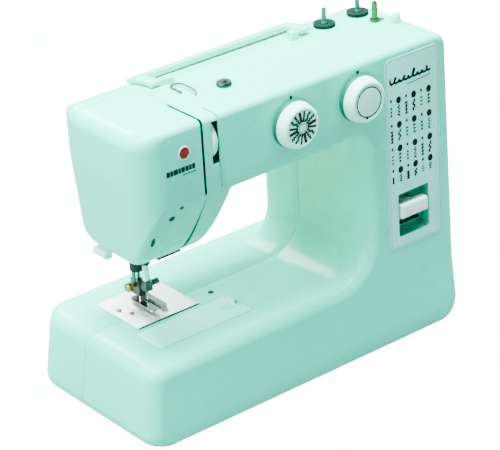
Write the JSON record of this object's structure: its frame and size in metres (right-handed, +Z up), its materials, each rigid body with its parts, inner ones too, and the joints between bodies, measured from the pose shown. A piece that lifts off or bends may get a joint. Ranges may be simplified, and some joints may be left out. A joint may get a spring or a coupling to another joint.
{
  "type": "sewing machine",
  "caption": "Domestic sewing machine with glossy mint casings, pillar dials, stitch panel, needle bar, presser foot, steel needle plate and folding handle.",
  "frame": {"origin": "on the table, under the centre of the whole machine's box", "axes": "+X to the operator's right, +Y away from the operator, +Z up"},
  "size_m": [0.3784, 0.1867, 0.3],
  "materials": {
    "mint_plastic": "glossy moulded mint plastic",
    "white_plastic": "glossy pale mint white plastic",
    "panel_plastic": "glossy bluish mint panel",
    "dark_plastic": "satin black plastic",
    "rubber": "matt black rubber",
    "steel": "brushed steel",
    "chrome": "polished chrome plate",
    "brass": "bronze-coloured metal",
    "cast_metal": "painted casting",
    "glass": "frosted bulb glass",
    "felt": "dark green wool felt"
  },
  "bodies": {
    "machine": {"base_plate": "dark_plastic", "foot_front_left": "rubber", "foot_front_right": "rubber", "foot_rear_left": "rubber", "foot_rear_right": "rubber", "front_cover": "mint_plastic", "rear_cover": "mint_plastic", "face_cover": "mint_plastic", "needle_plate": "steel", "plate_screw_1": "steel", "plate_screw_2": "steel", "control_panel": "panel_plastic", "frame": "cast_metal", "bush_left": "brass", "bush_right": "brass", "motor": "cast_metal", "drive_belt": "rubber", "timing_belt": "rubber", "lamp_holder": "white_plastic", "lamp_bulb": "glass", "power_socket": "dark_plastic", "thread_guide_wire": "steel", "pretension_disc": "steel", "winder_stop": "mint_plastic", "head_thread_guide": "dark_plastic", "thread_cutter": "white_plastic", "bobbin_case": "dark_plastic", "spool_felt_left": "felt", "spool_felt_right": "felt"},
    "handwheel": {"handwheel": "white_plastic", "clutch_knob": "white_plastic", "main_shaft": "steel", "shaft_pulley": "dark_plastic"},
    "motor_pulley": {"motor_pulley": "steel"},
    "lower_shaft": {"lower_shaft": "steel"},
    "hook": {"hook": "steel"},
    "bobbin": {"bobbin": "white_plastic"},
    "needle_bar": {"needle_bar": "chrome", "needle_clamp": "steel", "needle": "chrome"},
    "take_up": {"take_up_lever": "chrome"},
    "presser_bar": {"presser_bar": "chrome", "foot_holder": "steel", "presser_foot": "chrome", "foot_screw": "brass", "presser_spring": "steel"},
    "presser_lifter": {"presser_lifter": "white_plastic"},
    "feed_dog": {"feed_dog": "steel"},
    "stitch_dial": {"stitch_dial": "white_plastic"},
    "length_dial": {"length_dial": "white_plastic"},
    "tension_wheel": {"tension_wheel": "white_plastic"},
    "reverse_lever": {"reverse_lever": "white_plastic"},
    "spool_pin_left": {"spool_pin_left": "white_plastic"},
    "spool_pin_right": {"spool_pin_right": "white_plastic"},
    "winder_slide": {"winder_slide": "dark_plastic"},
    "winder_spindle": {"winder_spindle": "steel"},
    "carry_handle": {"carry_handle": "mint_plastic"},
    "bobbin_cover": {"bobbin_cover": "white_plastic"},
    "cover_button": {"cover_button": "dark_plastic"},
    "power_switch": {"power_switch": "dark_plastic"}
  },
  "joints": [
    {"name": "handwheel_spin", "type": "hinge", "parent": "machine", "child": "handwheel", "pos_m": [0.1772, -0.0066, 0.229], "axis": [1, 0, 0], "continuous": true},
    {"name": "motor_spin", "type": "hinge", "parent": "machine", "child": "motor_pulley", "pos_m": [0.1472, -0.0186, 0.07], "axis": [1, 0, 0], "continuous": true},
    {"name": "lower_shaft_spin", "type": "hinge", "parent": "machine", "child": "lower_shaft", "pos_m": [0.0172, 0.0394, 0.03], "axis": [1, 0, 0], "continuous": true},
    {"name": "hook_spin", "type": "hinge", "parent": "machine", "child": "hook", "pos_m": [-0.1063, 0.0044, 0.05], "axis": [0, 0, 1], "continuous": true},
    {"name": "bobbin_spin", "type": "hinge", "parent": "machine", "child": "bobbin", "pos_m": [-0.1063, 0.0044, 0.05], "axis": [0, 0, 1], "continuous": true},
    {"name": "needle_bar_slide", "type": "slide", "parent": "machine", "child": "needle_bar", "axis": [0, 0, 1], "range_m": [-0.007, 0.024]},
    {"name": "take_up_swing", "type": "hinge", "parent": "machine", "child": "take_up", "pos_m": [-0.1094, -0.0186, 0.236], "axis": [1, 0, 0], "range_deg": [-26, 9]},
    {"name": "presser_bar_slide", "type": "slide", "parent": "machine", "child": "presser_bar", "axis": [0, 0, 1], "range_m": [0, 0.006], "deforming": ["presser_spring"]},
    {"name": "presser_lifter_swing", "type": "hinge", "parent": "machine", "child": "presser_lifter", "pos_m": [-0.1133, 0.0479, 0.162], "axis": [0, -1, 0], "range_deg": [0, 12]},
    {"name": "feed_dog_lift", "type": "slide", "parent": "machine", "child": "feed_dog", "axis": [0, 0, 1], "range_m": [-0.0006, 0.0019]},
    {"name": "stitch_dial_turn", "type": "hinge", "parent": "machine", "child": "stitch_dial", "pos_m": [-0.0161, -0.0786, 0.251], "axis": [0, 1, 0], "range_deg": [-165, 165]},
    {"name": "length_dial_turn", "type": "hinge", "parent": "machine", "child": "length_dial", "pos_m": [0.0577, -0.0786, 0.251], "axis": [0, 1, 0], "range_deg": [-135, 135]},
    {"name": "tension_wheel_turn", "type": "hinge", "parent": "machine", "child": "tension_wheel", "pos_m": [-0.0975, -0.062, 0.2595], "axis": [1, 0, 0], "range_deg": [-150, 150]},
    {"name": "reverse_lever_press", "type": "hinge", "parent": "machine", "child": "reverse_lever", "pos_m": [0.1177, -0.0336, 0.127], "axis": [1, 0, 0], "range_deg": [0, 13], "stiffness_Nm_per_rad": 0.6, "springref_deg": -5.73},
    {"name": "spool_pin_left_pull", "type": "slide", "parent": "machine", "child": "spool_pin_left", "axis": [0, 0, 1], "range_m": [0, 0.035]},
    {"name": "spool_pin_right_pull", "type": "slide", "parent": "machine", "child": "spool_pin_right", "axis": [0, 0, 1], "range_m": [0, 0.035]},
    {"name": "winder_shift", "type": "slide", "parent": "machine", "child": "winder_slide", "axis": [1, 0, 0], "range_m": [0, 0.0065]},
    {"name": "winder_spin", "type": "hinge", "parent": "winder_slide", "child": "winder_spindle", "pos_m": [0.1347, -0.0146, 0.28], "axis": [0, 0, 1], "continuous": true},
    {"name": "carry_handle_fold", "type": "hinge", "parent": "machine", "child": "carry_handle", "pos_m": [-0.0128, 0.0054, 0.2866], "axis": [1, 0, 0], "range_deg": [0, 90]},
    {"name": "bobbin_cover_lift", "type": "slide", "parent": "machine", "child": "bobbin_cover", "axis": [0, 0, 1], "range_m": [0, 0.03]},
    {"name": "cover_button_press", "type": "slide", "parent": "machine", "child": "cover_button", "axis": [0, 0, 1], "range_m": [-0.0015, 0], "stiffness_N_per_m": 200, "springref_m": 0.001},
    {"name": "power_switch_rock", "type": "hinge", "parent": "machine", "child": "power_switch", "pos_m": [0.1587, 0.0404, 0.085], "axis": [0, 1, 0], "range_deg": [-5, 5]}
  ],
  "couplings": [
    {"joint": "motor_spin", "follows": "handwheel_spin", "ratio": 2.9231},
    {"joint": "lower_shaft_spin", "follows": "handwheel_spin", "ratio": 1},
    {"joint": "hook_spin", "follows": "handwheel_spin", "ratio": 2},
    {"joint": "take_up_swing", "follows": "needle_bar_slide", "rad_per_m": -18},
    {"joint": "feed_dog_lift", "follows": "needle_bar_slide", "ratio": 0.075},
    {"joint": "presser_lifter_swing", "follows": "presser_bar_slide", "rad_per_m": 34.9}
  ]
}
